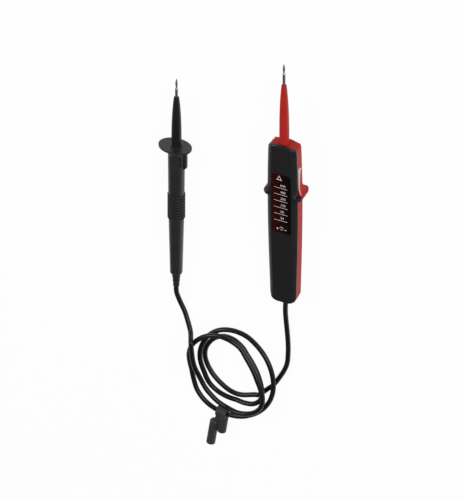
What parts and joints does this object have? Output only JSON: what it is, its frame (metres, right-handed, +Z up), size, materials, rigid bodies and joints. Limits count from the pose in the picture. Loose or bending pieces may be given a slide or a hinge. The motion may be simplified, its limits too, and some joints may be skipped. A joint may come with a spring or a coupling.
{
  "type": "two-pole voltage tester",
  "caption": "Two-pole LED voltage tester: display unit and second probe lying on a table, joined by a loosely coiled cable with a double tip cap on it.",
  "frame": {"origin": "on the table, under the middle of the box round the display unit and the second probe", "axes": "+X across the two tools from the second probe to the display unit, +Y along them towards the tips, +Z up from the table, out of the display"},
  "size_m": [0.1408, 0.4463, 0.0251],
  "materials": {
    "red_plastic": "satin moulded red plastic",
    "cover_plastic": "satin black plastic",
    "window_plastic": "glossy dark red lens",
    "pale_plastic": "translucent pale plastic",
    "tip_metal": "turned steel",
    "board": "green board",
    "lamp_plastic": "clear red",
    "resistor_body": "lacquered",
    "thermistor_body": "lacquered",
    "chip_body": "moulded",
    "contact_brass": "bare brass",
    "screw_steel": "plain",
    "cable_rubber": "satin black cable sheath",
    "handle_plastic": "satin black plastic",
    "grip_rubber": "matt",
    "sleeve_plastic": "satin",
    "cap_rubber": "soft dark grey"
  },
  "bodies": {
    "tester": {"rear_shell": "red_plastic", "front_cover": "cover_plastic", "display_window": "window_plastic", "side_window": "pale_plastic", "unit_sleeve": "red_plastic", "unit_tip": "tip_metal", "circuit_board": "board", "lamps": "lamp_plastic", "series_resistors": "resistor_body", "load_thermistor": "thermistor_body", "driver_chips": "chip_body", "tip_contact": "contact_brass", "case_screws": "screw_steel", "cable_clamp": "handle_plastic", "clamp_screws": "screw_steel", "unit_cable_tail": "cable_rubber", "probe_handle": "handle_plastic", "probe_grip": "grip_rubber", "probe_sleeve": "sleeve_plastic", "probe_tip": "tip_metal", "probe_resistor": "resistor_body", "probe_crimp": "contact_brass", "probe_boot": "grip_rubber", "probe_cable_tail": "cable_rubber", "lead_unit": "cable_rubber", "lead_coil": "cable_rubber", "lead_probe": "cable_rubber"},
    "cap": {"tip_cap": "cap_rubber"}
  },
  "joints": [
    {"name": "cap_swing", "type": "hinge", "parent": "tester", "child": "cap", "pos_m": [-0.00746, -0.26615, 0.0048], "axis": [-0.992, 0.1259, 0], "range_deg": [0, 110]}
  ]
}
